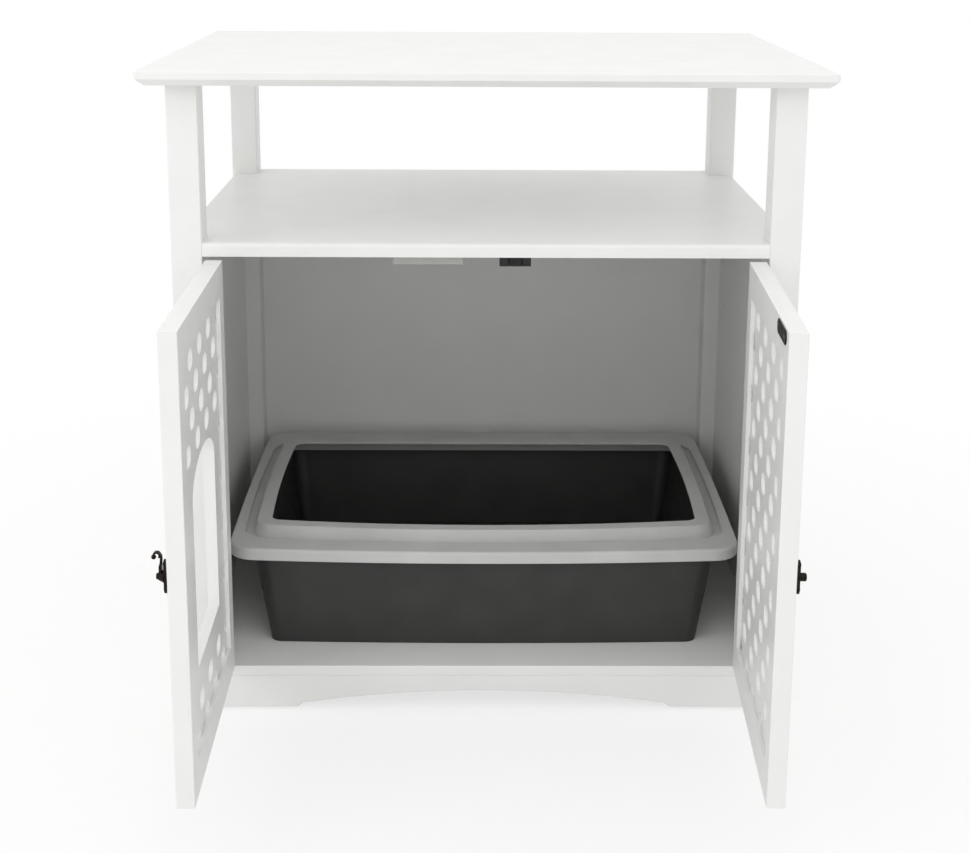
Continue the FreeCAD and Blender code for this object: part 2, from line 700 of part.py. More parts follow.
def keeper_peg():
    """Round-ended peg that the hook drops over."""
    x = latch_x()
    end = FRONT - PLATE_T - PEG_OUT
    peg = rod(PEG_R, V(x, FRONT - PLATE_T, LATCH_Z), V(x, end, LATCH_Z))
    tip = [e for e in peg.Edges if e.Curve.TypeId == "Part::GeomCircle"
           and abs(e.Curve.Center.y - end) < TOUCH]
    peg = peg.makeFillet(PEG_ROUND, tip)
    tail = rod(PIVOT_R, V(x, FRONT + RIVET_TAIL, LATCH_Z), V(x, FRONT - PLATE_T, LATCH_Z))
    return joined([peg, tail])


# ---- catch, strike and stop ---------------------------------------------------------------
def catch_screws():
    """Screws that hold the magnetic catch under the shelf."""
    z = SHELF_TOP - SHELF_T - CATCH_H + SCREW_SEAT
    y = FRONT + CATCH_Y + CATCH_D / 2 + 2
    return [pan_head_screw(V(CATCH_X + dx, y, z), V(0, 0, 1), *CATCH_SCREW)
            for dx in (-CATCH_SCREW_X, CATCH_SCREW_X)]


def catch_body():
    """Plastic block of the magnetic catch, hollowed at the front for its magnet."""
    z1 = SHELF_TOP - SHELF_T
    y0, y1 = FRONT + CATCH_Y, FRONT + CATCH_Y + CATCH_D
    half = CATCH_W / 2
    body = box(CATCH_X - half, CATCH_X + half, y0, y1, z1 - CATCH_H, z1)
    body = body.makeFillet(CATCH_ROUND, upright_edges(body))
    half = MAGNET_HALF
    body = body.cut(box(CATCH_X - half, CATCH_X + half, y0 - 1, y0 + MAGNET_DEPTH,
                        z1 - CATCH_H + MAGNET_LOW, z1 - MAGNET_HIGH))
    for screw in catch_screws():
        centre = screw.BoundBox.Center
        body = body.cut(rod(CATCH_BORE_R, V(centre.x, centre.y, z1 - CATCH_H - 1),
                            V(centre.x, centre.y, z1 - CATCH_H + SCREW_SEAT)))
    return body.cut(Part.makeCompound(catch_screws()))


def catch_magnet():
    """Magnet between the two pole plates."""
    z1 = SHELF_TOP - SHELF_T
    y0 = FRONT + CATCH_Y
    half = MAGNET_HALF - POLE_T
    return box(CATCH_X - half, CATCH_X + half, y0 + MAGNET_SETBACK, y0 + MAGNET_DEPTH,
               z1 - CATCH_H + MAGNET_LOW, z1 - MAGNET_HIGH)


def catch_poles():
    """Steel pole plates at the magnet's sides, just proud of the block."""
    z1 = SHELF_TOP - SHELF_T
    y0 = FRONT + CATCH_Y - POLE_OUT
    y1 = FRONT + CATCH_Y + MAGNET_DEPTH
    low, high = z1 - CATCH_H + MAGNET_LOW, z1 - MAGNET_HIGH
    left, right = CATCH_X - MAGNET_HALF, CATCH_X + MAGNET_HALF
    return [box(left, left + POLE_T, y0, y1, low, high),
            box(right - POLE_T, right, y0, y1, low, high)]


def strike_screws():
    """Screws of the strike plate, drawn with the right-hand door closed."""
    return [pan_head_screw(V(STRIKE_X + dx, FRONT + DOOR_T + STRIKE_T, STRIKE_Z), V(0, -1, 0),
                           *STRIKE_SCREW) for dx in STRIKE_SCREW_X]


def strike_plate():
    """Steel plate with round ends on the inner face of the right-hand door."""
    y0, y1 = FRONT + DOOR_T, FRONT + DOOR_T + STRIKE_T
    r = STRIKE_H / 2
    flat = STRIKE_W / 2 - r
    pieces = [box(STRIKE_X - flat, STRIKE_X + flat, y0, y1, STRIKE_Z - r, STRIKE_Z + r)]
    pieces += [rod(r, V(STRIKE_X + k * flat, y0, STRIKE_Z), V(STRIKE_X + k * flat, y1, STRIKE_Z))
               for k in (-1, 1)]
    return joined(pieces).cut(Part.makeCompound(strike_screws()))


def stop_screws():
    """Screws that hold the stop block under the shelf."""
    z = SHELF_TOP - SHELF_T - STOP_H + SCREW_SEAT
    y = FRONT + STOP_Y + STOP_D / 2
    return [pan_head_screw(V(STOP_X + dx, y, z), V(0, 0, 1), *STOP_SCREW)
            for dx in (-STOP_SCREW_X, STOP_SCREW_X)]


def stop_block():
    """Block behind the left door's upper edge that stops it flush with the posts."""
    z1 = SHELF_TOP - SHELF_T
    y0 = FRONT + STOP_Y
    half = STOP_W / 2
    block = box(STOP_X - half, STOP_X + half, y0, y0 + STOP_D, z1 - STOP_H, z1)
    block = block.makeFillet(STOP_ROUND, upright_edges(block))
    for screw in stop_screws():
        centre = screw.BoundBox.Center
        block = block.cut(rod(STOP_BORE_R, V(centre.x, centre.y, z1 - STOP_H - 1),
                              V(centre.x, centre.y, z1 - STOP_H + SCREW_SEAT)))
    return block.cut(Part.makeCompound(stop_screws()))


# ---- litter pan ---------------------------------------------------------------------------
def inset(plan_form, amount):
    """A plan outline moved inwards, or outwards when the amount is negative."""
    half_x, front, back, radius, bow_x, bow_front, bow_back = plan_form
    return (half_x - amount, front + amount, back - amount, radius - CORNER_TAPER * amount,
            bow_x, bow_front, bow_back)


def bowed_prism(plan_form, z0, z1):
    """A prism whose four sides bow outwards and whose corners are round."""
    half_x, front, back, radius, bow_x, bow_front, bow_back = plan_form
    y0, y1 = FRONT + front, FRONT + back
    middle, cx = (y0 + y1) / 2, half_x - bow_x
    near, far = y0 + bow_front, y1 - bow_back
    corners = [V(cx, near, z0), V(cx, far, z0), V(-cx, far, z0), V(-cx, near, z0)]
    crowns = [V(half_x, middle, z0), V(0, y1, z0), V(-half_x, middle, z0), V(0, y0, z0)]
    arcs = [Part.Arc(corners[i], crowns[i], corners[(i + 1) % 4]).toShape() for i in range(4)]
    prism = Part.Face(Part.Wire(arcs)).extrude(V(0, 0, z1 - z0))
    return prism.makeFillet(radius, upright_edges(prism))


def bowed_loft(low_form, z0, high_form, z1):
    """A solid between two bowed outlines."""
    wires = []
    for form, z in ((low_form, z0), (high_form, z1)):
        faces = sorted(bowed_prism(form, z, z + 2).Faces, key=lambda f: f.CenterOfMass.z)
        wires.append(faces[0].OuterWire)
    return Part.makeLoft(wires, True, True)


def soft_top(shape, radius):
    """Round the upper edges of a solid."""
    high = max(v.Z for v in shape.Vertexes)
    edges = [e for e in shape.Edges if all(abs(v.Z - high) < TOUCH for v in e.Vertexes)]
    return shape.makeFillet(radius, edges)


def rim_ridge(shrink):
    """The raised band round the rim's mouth, or the hollow inside it."""
    top = RIDGE_Z - shrink
    low = CHANNEL_Z - RIM_WALL
    wide = inset(MOUTH_PLAN, shrink - RIDGE_W - SLOPE_W)
    narrow = inset(MOUTH_PLAN, shrink - RIDGE_W)
    return bowed_loft(wide, low, narrow, top)


def litter_rim():
    """Snap-on rim: skirt, broad bead, channel and a ridge round the mouth."""
    outer = soft_top(bowed_prism(RIM_PLAN, SKIRT_Z, BEAD_Z), BEAD_SOFT)
    channel = inset(MOUTH_PLAN, -(RIDGE_W + SLOPE_W + CHANNEL_W))
    outer = outer.cut(bowed_prism(channel, CHANNEL_Z, BEAD_Z + 1))
    low, wall = SKIRT_Z - 1, RIM_WALL
    outer = outer.cut(bowed_prism(inset(RIM_PLAN, wall), low, CHANNEL_Z - wall))
    under_bead = bowed_prism(inset(RIM_PLAN, wall), low, BEAD_Z - wall)
    outer = outer.cut(under_bead.cut(bowed_prism(inset(channel, -wall), low, BEAD_Z)))
    rim = joined([outer, soft_top(rim_ridge(0), RIDGE_SOFT)])
    return rim.cut(rim_ridge(wall)).cut(bowed_prism(MOUTH_PLAN, low, RIDGE_Z + 1))


def litter_tub():
    """Open tub with leaning sides and a flange under the rim."""
    base, top, wall = TUB_BASE_Z, TUB_FLANGE_Z, TUB_WALL
    outer = bowed_loft(TUB_BASE_PLAN, base, TUB_TOP_PLAN, top)
    inner = bowed_loft(inset(TUB_BASE_PLAN, wall), base + wall, inset(TUB_TOP_PLAN, wall), top)
    flange = bowed_prism(inset(RIM_PLAN, TUB_FLANGE_INSET), top - wall, top)
    mouth = bowed_prism(inset(TUB_TOP_PLAN, wall), top - wall - 1, top + 1)
    return joined([outer, flange]).cut(inner).cut(mouth)


# ---- nodes --------------------------------------------------------------------------------
def carcase_nodes():
    """Fixed boards, posts and their fastenings."""
    return {
        "top_panel": top_panel(),
        "front_left_post": post(-1, False),
        "front_right_post": post(1, False),
        "rear_left_post": post(-1, True),
        "rear_right_post": post(1, True),
        "middle_shelf": middle_shelf(),
        "floor_panel": floor_panel(),
        "left_side_panel": side_panel(-1),
        "right_side_panel": side_panel(1),
        "back_panel": back_panel(),
        "front_apron": front_apron(),
        "rear_rail": rear_rail(),
        "floor_cleats": floor_cleats(),
        "cleat_screws": cleat_screws(),
        "top_dowels": top_dowels(),
        "shelf_dowels": shelf_dowels(),
        "side_dowels": side_dowels(),
        "back_screws": back_screws(),
        "foot_glides": foot_glides(),
        "catch_body": catch_body(),
        "catch_magnet": catch_magnet(),
        "catch_poles": catch_poles(),
        "catch_screws": catch_screws(),
        "stop_block": stop_block(),
        "stop_screws": stop_screws(),
    }


def door_nodes(name, x_sign):
    """Frame, panel and hinges of one door."""
    frame_leaves = [hinge_leaf(z, True) for z in HINGE_Z]
    left = x_sign < 0
    return {
        name + "_hinge_stile": hang(hinge_stile(), x_sign),
        name + "_free_stile": hang(free_stile(not left), x_sign),
        name + "_top_rail": hang(door_rail(True, not left), x_sign),
        name + "_bottom_rail": hang(door_rail(False, False), x_sign),
        name + "_panel": hang(door_panel(not left, left), x_sign),
        name + "_hinge_frame_leaves": [mirror(s) if left else s for s in frame_leaves],
        name + "_hinge_frame_screws": hinge_screws(x_sign, True),
        name + "_hinge_pins": hinge_pins(x_sign),
        name + "_hinge_door_leaves": [hang(hinge_leaf(z, False), x_sign) for z in HINGE_Z],
        name + "_hinge_door_screws": [hang(s, x_sign) for s in hinge_screws(1, False)],
    }


def latch_nodes():
    """Swing hook on the left door, its keeper and the strike plate on the right door."""
    return {
        "latch_plate": hang(latch_plate(PIVOT_R), -1),
        "latch_screws": [hang(s, -1) for s in plate_screws()],
        "latch_pivot": hang(latch_pivot(), -1),
        "latch_hook": hang(latch_hook(), -1),
        "keeper_plate": hang(latch_plate(PIVOT_R), 1),
        "keeper_screws": [hang(s, 1) for s in plate_screws()],
        "keeper_peg": hang(keeper_peg(), 1),
        "strike_plate": hang(strike_plate(), 1),
        "strike_screws": [hang(s, 1) for s in strike_screws()],
    }


def main():
    """Write one file for each node."""
    os.makedirs("parts", exist_ok=True)
    nodes = carcase_nodes()
    nodes.update(door_nodes("left_door", -1))
    nodes.update(door_nodes("right_door", 1))
    nodes.update(latch_nodes())
    nodes["litter_tub"] = litter_tub()
    nodes["litter_rim"] = litter_rim()
    for name, shape in nodes.items():
        solid = Part.makeCompound(shape) if isinstance(shape, list) else shape
        solid.exportStep("parts/" + name + ".step")
        print(name, len(solid.Solids), round(solid.Volume), solid.isValid())


main()
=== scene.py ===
"""Looks of the cat litter box cabinet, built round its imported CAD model.

Metres, in the CAD model's frame: X to the right, Y away from the viewer, Z up from the floor.
Boards, hardware and the litter pan are dressed node by node. Where a piece has softer edges
than its solid, or a driver recess, a finished mesh stands in for the node.
"""

import logging
import math
from collections.abc import Callable
from dataclasses import dataclass, field
from enum import Enum

import bpy
from mathutils import Matrix, Vector


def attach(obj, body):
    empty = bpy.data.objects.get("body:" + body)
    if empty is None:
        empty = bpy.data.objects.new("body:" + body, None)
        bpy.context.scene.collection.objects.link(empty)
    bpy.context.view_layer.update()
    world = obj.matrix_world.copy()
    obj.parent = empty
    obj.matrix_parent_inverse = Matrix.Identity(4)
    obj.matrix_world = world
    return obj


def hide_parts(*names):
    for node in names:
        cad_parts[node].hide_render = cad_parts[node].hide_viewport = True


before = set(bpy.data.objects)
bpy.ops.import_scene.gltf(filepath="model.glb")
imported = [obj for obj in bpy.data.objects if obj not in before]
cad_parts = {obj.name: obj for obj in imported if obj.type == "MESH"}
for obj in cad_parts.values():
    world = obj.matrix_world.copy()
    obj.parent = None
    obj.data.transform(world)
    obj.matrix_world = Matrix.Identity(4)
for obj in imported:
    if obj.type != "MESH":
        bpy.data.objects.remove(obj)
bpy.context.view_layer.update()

MM = 0.001
PHOTO_WIDTH = 970
PHOTO_HEIGHT = 853

CHANNEL_MAX = 255
SRGB_LINEAR_LIMIT = 0.04045
SRGB_LINEAR_SLOPE = 12.92
SRGB_OFFSET = 0.055
SRGB_SCALE = 1.055
SRGB_EXPONENT = 2.4
WHITE = (1.0, 1.0, 1.0, 1.0)

# The part of a noise field that most of its values lie in.
NOISE_LOW, NOISE_HIGH = 0.3, 0.7
# Where a tint's blend starts and ends on a noise field.
TINT_START, TINT_END = 0.35, 0.65

# Vertices closer than this are one vertex, in metres.
MERGE_DISTANCE = 1e-6
# Differences of length below this don't tell a screw's parts apart, in metres.
SLIGHT = 0.1 * MM
# A screw's rim is what lies outside this share of its largest radius.
RIM_SHARE = 0.98
# Least Z of the normal of a face that looks up.
UPWARD = 0.9
# Rounds after which the direction of a screw's axis no longer changes.
AXIS_ROUNDS = 30

log = logging.getLogger("cabinet")


class Side(Enum):
    """Which of the two doors, as the sign of its X."""

    LEFT = -1
    RIGHT = 1


class HeadStyle(Enum):
    """Forms of screw head used on the cabinet."""

    PAN = "pan"
    FLAT = "flat"


# ---- colour and node helpers ---------------------------------------------------------------
def linear(hex_colour: str) -> tuple[float, float, float, float]:
    """Turn an sRGB hex colour into the linear values that shaders take.

    Args:
        hex_colour: six hex digits, red first.

    Returns:
        Linear red, green, blue and an alpha of 1.
    """
    channels = []
    for start in (0, 2, 4):
        value = int(hex_colour[start:start + 2], 16) / CHANNEL_MAX
        if value <= SRGB_LINEAR_LIMIT:
            channels.append(value / SRGB_LINEAR_SLOPE)
        else:
            channels.append(((value + SRGB_OFFSET) / SRGB_SCALE) ** SRGB_EXPONENT)
    return (channels[0], channels[1], channels[2], 1.0)


class Recipe:
    """A material under construction: its node tree and its Principled shader."""

    def __init__(self, name: str) -> None:
        """Start a material that holds one Principled shader.

        Args:
            name: the material's name.
        """
        self.material = bpy.data.materials.new(name)
        self.material.use_nodes = True
        self.tree = self.material.node_tree
        self.shader = self.tree.nodes["Principled BSDF"]
        self.coordinates = self.tree.nodes.new("ShaderNodeTexCoord").outputs["Object"]

    def link(self, source: bpy.types.NodeSocket, target: bpy.types.NodeSocket) -> None:
        """Join an output to an input.

        Args:
            source: the output.
            target: the input.
        """
        self.tree.links.new(source, target)

    def stretched(self, scale: tuple[float, float, float]) -> bpy.types.NodeSocket:
        """Object coordinates scaled along each axis.

        Args:
            scale: factors for X, Y and Z.

        Returns:
            The scaled coordinates.
        """
        mapping = self.tree.nodes.new("ShaderNodeMapping")
        mapping.inputs["Scale"].default_value = scale
        self.link(self.coordinates, mapping.inputs["Vector"])
        return mapping.outputs["Vector"]

    def noise(self, size_mm: float, detail: float = 2.0,
              vector: bpy.types.NodeSocket | None = None) -> bpy.types.NodeSocket:
        """A noise field whose blotches are about size_mm across.

        Args:
            size_mm: size of one blotch in millimetres.
            detail: octaves of finer noise.
            vector: coordinates to use in place of the object's own.

        Returns:
            The noise as a factor between 0 and 1.
        """
        node = self.tree.nodes.new("ShaderNodeTexNoise")
        node.inputs["Scale"].default_value = 1 / (size_mm * MM)
        node.inputs["Detail"].default_value = detail
        self.link(vector or self.coordinates, node.inputs["Vector"])
        return node.outputs["Fac"]

    def spread(self, factor: bpy.types.NodeSocket, low: float,
               high: float) -> bpy.types.NodeSocket:
        """Map the middle of a noise field onto a range of values.

        Args:
            factor: a field between 0 and 1.
            low: value where the field is low.
            high: value where the field is high.

        Returns:
            The mapped value.
        """
        node = self.tree.nodes.new("ShaderNodeMapRange")
        node.inputs["From Min"].default_value = NOISE_LOW
        node.inputs["From Max"].default_value = NOISE_HIGH
        node.inputs["To Min"].default_value = low
        node.inputs["To Max"].default_value = high
        self.link(factor, node.inputs["Value"])
        return node.outputs["Result"]

    def tint(self, factor: bpy.types.NodeSocket, first: str, second: str) -> None:
        """Blend the base colour between two hex colours by a field.

        Args:
            factor: a field between 0 and 1.
            first: colour where the field is low.
            second: colour where the field is high.
        """
        ramp = self.tree.nodes.new("ShaderNodeValToRGB")
        ramp.color_ramp.elements[0].position = TINT_START
        ramp.color_ramp.elements[0].color = linear(first)
        ramp.color_ramp.elements[1].position = TINT_END
        ramp.color_ramp.elements[1].color = linear(second)
        self.link(factor, ramp.inputs["Fac"])
        self.link(ramp.outputs["Color"], self.shader.inputs["Base Color"])

    def roughness(self, factor: bpy.types.NodeSocket, low: float, high: float) -> None:
        """Vary the roughness between two values by a field.

        Args:
            factor: a field between 0 and 1.
            low: roughness where the field is low.
            high: roughness where the field is high.
        """
        self.link(self.spread(factor, low, high), self.shader.inputs["Roughness"])

    def relief(self, fields: list[tuple[bpy.types.NodeSocket, float]]) -> None:
        """Chain bumps into the shader's normal.

        Args:
            fields: a field and its height in millimetres for each bump.
        """
        normal = None
        for factor, height_mm in fields:
            bump = self.tree.nodes.new("ShaderNodeBump")
            bump.inputs["Strength"].default_value = 1.0
            bump.inputs["Distance"].default_value = height_mm * MM
            self.link(factor, bump.inputs["Height"])
            if normal is not None:
                self.link(normal, bump.inputs["Normal"])
            normal = bump.outputs["Normal"]
        self.link(normal, self.shader.inputs["Normal"])

    def fixed(self, **values: float) -> None:
        """Set the shader's own sockets.

        Args:
            values: a value for each socket, with underscores for the spaces in its name.
        """
        for name, value in values.items():
            self.shader.inputs[name.replace("_", " ")].default_value = value


# ---- finishes ------------------------------------------------------------------------------
@dataclass(frozen=True)
class SatinLacquer:
    """Sprayed satin lacquer on fibreboard: faint orange peel and slow sheen changes."""

    name: str = "white_satin_lacquer"
    colour: str = "EDEDEC"
    shade: str = "EBEBE9"
    peel_mm: float = 1.6
    peel_height_mm: float = 0.006
    wave_mm: float = 60.0
    wave_height_mm: float = 0.008
    sheen_mm: float = 20.0
    octaves: float = 1.0
    smooth: float = 0.36
    rough: float = 0.46
    coat: float = 0.12
    coat_rough: float = 0.3

    def make(self) -> bpy.types.Material:
        """Build the material.

        Returns:
            The material.
        """
        recipe = Recipe(self.name)
        slow = recipe.noise(self.wave_mm, self.octaves)
        recipe.tint(slow, self.shade, self.colour)
        recipe.roughness(recipe.noise(self.sheen_mm), self.smooth, self.rough)
        recipe.relief([(slow, self.wave_height_mm),
                       (recipe.noise(self.peel_mm, self.octaves), self.peel_height_mm)])
        recipe.fixed(Coat_Weight=self.coat, Coat_Roughness=self.coat_rough)
        return recipe.material


@dataclass(frozen=True)
class MouldedPlastic:
    """Injection-moulded plastic with a fine spark texture and slow colour drift."""

    name: str
    colour: str
    shade: str
    grain_mm: float = 0.9
    grain_height_mm: float = 0.02
    drift_mm: float = 45.0
    drift_octaves: float = 3.0
    sheen_share: float = 0.25
    smooth: float = 0.38
    rough: float = 0.52

    def make(self) -> bpy.types.Material:
        """Build the material.

        Returns:
            The material.
        """
        recipe = Recipe(self.name)
        drift = recipe.noise(self.drift_mm, self.drift_octaves)
        recipe.tint(drift, self.shade, self.colour)
        sheen = recipe.noise(self.drift_mm * self.sheen_share, self.drift_octaves)
        recipe.roughness(sheen, self.smooth, self.rough)
        recipe.relief([(recipe.noise(self.grain_mm), self.grain_height_mm)])
        return recipe.material


@dataclass(frozen=True)
class AgedBronze:
    """Dark antique plating over die-cast metal, browner where it has worn."""

    name: str = "aged_dark_bronze"
    colour: str = "15120F"
    worn: str = "2E261F"
    patch_mm: float = 3.0
    patch_octaves: float = 4.0
    grain_mm: float = 0.5
    grain_height_mm: float = 0.02
    smooth: float = 0.34
    rough: float = 0.52
    metallic: float = 0.85

    def make(self) -> bpy.types.Material:
        """Build the material.

        Returns:
            The material.
        """
        recipe = Recipe(self.name)
        patches = recipe.noise(self.patch_mm, self.patch_octaves)
        recipe.tint(patches, self.colour, self.worn)
        recipe.roughness(patches, self.smooth, self.rough)
        recipe.relief([(recipe.noise(self.grain_mm), self.grain_height_mm)])
        recipe.fixed(Metallic=self.metallic)
        return recipe.material


@dataclass(frozen=True)
class PlatedSteel:
    """Zinc-plated steel with fine drawing lines along one axis."""

    name: str = "zinc_plated_steel"
    colour: str = "B9B9B4"
    shade: str = "A3A39E"
    line_mm: float = 0.3
    stretch: tuple[float, float, float] = (1.0, 1.0, 0.05)
    line_octaves: float = 3.0
    line_height_mm: float = 0.004
    blotch_mm: float = 4.0
    smooth: float = 0.24
    rough: float = 0.4

    def make(self) -> bpy.types.Material:
        """Build the material.

        Returns:
            The material.
        """
        recipe = Recipe(self.name)
        lines = recipe.noise(self.line_mm, self.line_octaves, recipe.stretched(self.stretch))
        recipe.tint(recipe.noise(self.blotch_mm), self.shade, self.colour)
        recipe.roughness(lines, self.smooth, self.rough)
        recipe.relief([(lines, self.line_height_mm)])
        recipe.fixed(Metallic=1.0)
        return recipe.material


@dataclass(frozen=True)
class BeechWood:
    """Plain beech: long grain with short dark flecks."""

    name: str = "beech_dowel"
    colour: str = "D3AE82"
    shade: str = "BE9468"
    grain_mm: float = 1.2
    stretch: tuple[float, float, float] = (1.0, 1.0, 0.08)
    grain_octaves: float = 4.0
    grain_height_mm: float = 0.02
    smooth: float = 0.55
    rough: float = 0.7

    def make(self) -> bpy.types.Material:
        """Build the material.

        Returns:
            The material.
        """
        recipe = Recipe(self.name)
        grain = recipe.noise(self.grain_mm, self.grain_octaves,
                             recipe.stretched(self.stretch))
        recipe.tint(grain, self.shade, self.colour)
        recipe.roughness(grain, self.smooth, self.rough)
        recipe.relief([(grain, self.grain_height_mm)])
        return recipe.material


@dataclass(frozen=True)
class Finishes:
    """Every material of the cabinet, made once."""

    lacquer: bpy.types.Material = field(default_factory=lambda: SatinLacquer().make())
    bronze: bpy.types.Material = field(default_factory=lambda: AgedBronze().make())
    steel: bpy.types.Material = field(default_factory=lambda: PlatedSteel().make())
    beech: bpy.types.Material = field(default_factory=lambda: BeechWood().make())
    rim_grey: bpy.types.Material = field(
        default_factory=lambda: MouldedPlastic("grey_moulded_rim", "C9CAC8", "C3C4C2").make())
    tub_charcoal: bpy.types.Material = field(
        default_factory=lambda: MouldedPlastic("charcoal_moulded_tub", "313130", "2B2B2A").make())
    black_plastic: bpy.types.Material = field(
        default_factory=lambda: MouldedPlastic("black_catch_plastic", "121211", "0E0E0D",
                                               drift_mm=10.0).make())
    white_plastic: bpy.types.Material = field(
        default_factory=lambda: MouldedPlastic("white_glide_plastic", "E4E4E1", "DCDCD8",
                                               drift_mm=18.0).make())
    block_plastic: bpy.types.Material = field(
        default_factory=lambda: MouldedPlastic("pale_grey_block_plastic", "B6B6B2", "AEAEAA",
                                               drift_mm=18.0).make())
    ferrite: bpy.types.Material = field(
        default_factory=lambda: MouldedPlastic("ferrite_magnet", "1D1C1A", "171614",
                                               grain_mm=0.5, smooth=0.6, rough=0.8).make())
    pole_steel: bpy.types.Material = field(
        default_factory=lambda: PlatedSteel("blackened_pole_steel", "2B2B29", "20201F").make())


# ---- mesh helpers --------------------------------------------------------------------------
def activate(piece: bpy.types.Object) -> None:
    """Select one object alone and make it active.

    Args:
        piece: the object.
    """
    if bpy.context.object and bpy.context.object.mode != "OBJECT":
        bpy.ops.object.mode_set(mode="OBJECT")
    bpy.ops.object.select_all(action="DESELECT")
    piece.select_set(True)
    bpy.context.view_layer.objects.active = piece


def apply_all(piece: bpy.types.Object) -> None:
    """Apply every modifier of a piece in order.

    Args:
        piece: the mesh object.
    """
    activate(piece)
    for modifier in list(piece.modifiers):
        bpy.ops.object.modifier_apply(modifier=modifier.name)


def settle(piece: bpy.types.Object) -> None:
    """Move a piece's place into its mesh, so that its object sits at the origin.

    Args:
        piece: the mesh object.
    """
    piece.data.transform(piece.matrix_basis)
    piece.matrix_basis = Matrix.Identity(4)


def paint(piece: bpy.types.Object, material: bpy.types.Material) -> None:
    """Give a piece one material all over.

    Args:
        piece: the mesh object.
        material: its finish.
    """
    piece.data.materials.clear()
    piece.data.materials.append(material)


def dress(node: str, material: bpy.types.Material) -> None:
    """Give a CAD node its finish through its material slots.

    Args:
        node: the CAD node.
        material: its finish.
    """
    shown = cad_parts[node]
    if not shown.material_slots:
        shown.data.materials.append(material)
    for slot in shown.material_slots:
        slot.material = material
    log.info("dressed %s with %s", node, material.name)


def merge_vertices(piece: bpy.types.Object) -> None:
    """Join the loose triangles of a copied solid at their corners.

    Args:
        piece: the copy.
    """
    activate(piece)
    bpy.ops.object.mode_set(mode="EDIT")
    bpy.ops.mesh.select_all(action="SELECT")
    bpy.ops.mesh.remove_doubles(threshold=MERGE_DISTANCE)
    bpy.ops.object.mode_set(mode="OBJECT")


@dataclass(frozen=True)
class SoftEdge:
    """How a piece's sharp edges are eased."""

    width_mm: float
    segments: int = 2
    sharp_angle: float = math.radians(40)

    def finish(self, piece: bpy.types.Object) -> None:
        """Bevel the sharp edges and shade the piece smoothly.

        Args:
            piece: a closed mesh with merged vertices.
        """
        bevel = piece.modifiers.new("eased_edges", "BEVEL")
        bevel.width = self.width_mm * MM
        bevel.segments = self.segments
        bevel.limit_method = "ANGLE"
        bevel.angle_limit = self.sharp_angle
        bevel.miter_outer = "MITER_ARC"
        weighted = piece.modifiers.new("weighted_normals", "WEIGHTED_NORMAL")
        weighted.keep_sharp = True
        activate(piece)
        bpy.ops.object.shade_smooth_by_angle(angle=self.sharp_angle)
        apply_all(piece)


def mesh_copy(node: str, name: str) -> bpy.types.Object:
    """Copy a CAD node with a mesh of its own.

    Args:
        node: the CAD node.
        name: the copy's name.

    Returns:
        The copy, at the origin like the node.
    """
    piece = bpy.data.objects.new(name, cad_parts[node].data.copy())
    bpy.context.scene.collection.objects.link(piece)
    return piece


def eased_copy(node: str, body: str, material: bpy.types.Material, edge: SoftEdge) -> None:
    """Stand a soft-edged copy of a node in for the node.

    Args:
        node: the CAD node.
        body: the body it rides on.
        material: its finish.
        edge: how its edges are eased.
    """
    piece = mesh_copy(node, node + "_finished")
    merge_vertices(piece)
    edge.finish(piece)
    paint(piece, material)
    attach(piece, body)
    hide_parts(node)
    log.info("eased %s, %d faces", node, len(piece.data.polygons))


